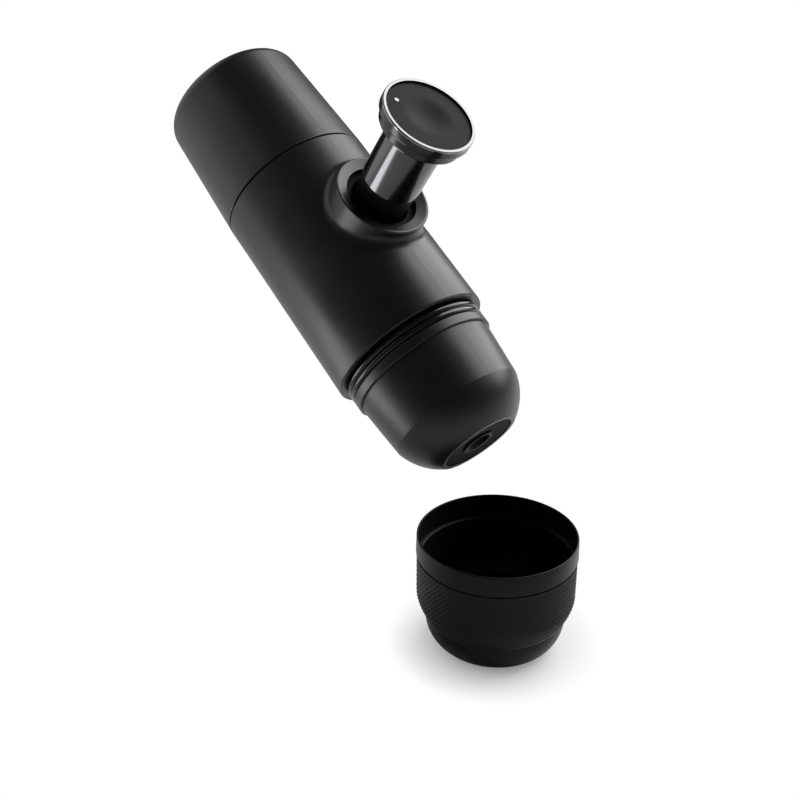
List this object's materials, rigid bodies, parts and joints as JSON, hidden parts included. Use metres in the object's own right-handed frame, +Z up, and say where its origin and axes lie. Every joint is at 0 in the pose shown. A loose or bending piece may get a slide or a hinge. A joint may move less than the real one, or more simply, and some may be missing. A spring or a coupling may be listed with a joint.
{
  "type": "handheld manual espresso maker",
  "caption": "Handheld manual espresso maker: a cylindrical body with a screw-on water tank and domed outlet head, a spring-return piston with a round knob, and a matching cup.",
  "frame": {"origin": "centre of the cup's flat base, on the table", "axes": "+Z up out of the cup, +X away from the machine's tank along the table, +Y across the plane of symmetry; the machine is held above with its outlet 36.7 degrees below the horizontal"},
  "size_m": [0.1922, 0.061, 0.2001],
  "materials": {
    "shell_black": "fine satin moulded plastic",
    "cup_black": "satin moulded plastic",
    "grip_black": "diamond-textured soft grip band",
    "gloss_black": "polished plastic",
    "inner_black": "plain moulded plastic",
    "inner_grey": "glass-filled moulded plastic",
    "knob_satin": "satin with a fine turned grain",
    "bright_chrome": "polished dark chrome plate",
    "steel": "plain stainless steel",
    "silicone": "translucent silicone, seen as grey"
  },
  "bodies": {
    "machine": {"body_shell": "shell_black", "sleeve_guide": "inner_black", "pump_chassis": "inner_black", "inlet_screen": "steel", "suction_tube": "silicone", "valve_block": "inner_grey", "inlet_spring": "steel", "outlet_spring": "steel", "pressure_tube": "silicone", "pump_cylinder": "inner_grey", "cylinder_cap": "inner_grey", "pump_screws": "steel", "return_spring": "steel", "brew_housing": "inner_black", "housing_screws": "steel", "neck_ring": "gloss_black", "shower_head": "inner_grey", "shower_screen": "steel", "screen_ring": "steel", "basket_gasket": "silicone"},
    "tank_seat": {"tank_seal": "silicone"},
    "tank": {"water_tank": "shell_black"},
    "piston": {"piston_rod": "inner_grey", "piston_seals": "silicone"},
    "knob": {"piston_tube": "inner_black", "piston_sleeve": "bright_chrome", "knob_body": "gloss_black", "knob_screw": "steel", "knob_rim": "bright_chrome", "knob_face": "knob_satin", "indicator_dot": "bright_chrome"},
    "inlet_valve": {"inlet_ball": "steel"},
    "outlet_valve": {"outlet_ball": "steel"},
    "basket": {"filter_basket": "inner_grey", "basket_screen": "steel"},
    "head": {"outlet_head": "shell_black", "nozzle_plate": "gloss_black", "spout_nozzle": "inner_black"},
    "cup": {"cup_body": "cup_black", "cup_grip": "grip_black"}
  },
  "joints": [
    {"name": "tank_travel", "type": "slide", "parent": "machine", "child": "tank_seat", "axis": [-0.8018, 0, 0.5976], "range_m": [0, 0.0091]},
    {"name": "tank_turn", "type": "hinge", "parent": "tank_seat", "child": "tank", "pos_m": [-0.12403, 0, 0.16162], "axis": [-0.8018, 0, 0.5976], "range_deg": [0, 540]},
    {"name": "head_travel", "type": "slide", "parent": "machine", "child": "basket", "axis": [0.8018, 0, -0.5976], "range_m": [0, 0.0091]},
    {"name": "head_turn", "type": "hinge", "parent": "basket", "child": "head", "pos_m": [-0.02782, 0, 0.08991], "axis": [0.8018, 0, -0.5976], "range_deg": [0, 540]},
    {"name": "piston_stroke", "type": "slide", "parent": "machine", "child": "piston", "axis": [-0.5976, 0, -0.8018], "range_m": [0, 0.028], "stiffness_N_per_m": 150, "springref_m": -0.02, "deforming": ["return_spring"]},
    {"name": "knob_turn", "type": "hinge", "parent": "piston", "child": "knob", "pos_m": [-0.04472, 0, 0.17734], "axis": [0.5976, 0, 0.8018], "range_deg": [0, 60]},
    {"name": "inlet_valve_lift", "type": "slide", "parent": "machine", "child": "inlet_valve", "axis": [0.8018, 0, -0.5976], "range_m": [0, 0.001], "stiffness_N_per_m": 50, "springref_m": -0.001, "deforming": ["inlet_spring"]},
    {"name": "outlet_valve_lift", "type": "slide", "parent": "machine", "child": "outlet_valve", "axis": [0.8018, 0, -0.5976], "range_m": [0, 0.001], "stiffness_N_per_m": 50, "springref_m": -0.001, "deforming": ["outlet_spring"]},
    {"name": "cup_away", "type": "slide", "parent": "machine", "child": "cup", "axis": [1, 0, 0], "range_m": [0, 0.09]}
  ],
  "couplings": [
    {"joint": "tank_travel", "follows": "tank_turn", "m_per_rad": 0.00095493},
    {"joint": "head_travel", "follows": "head_turn", "m_per_rad": 0.00095493}
  ]
}
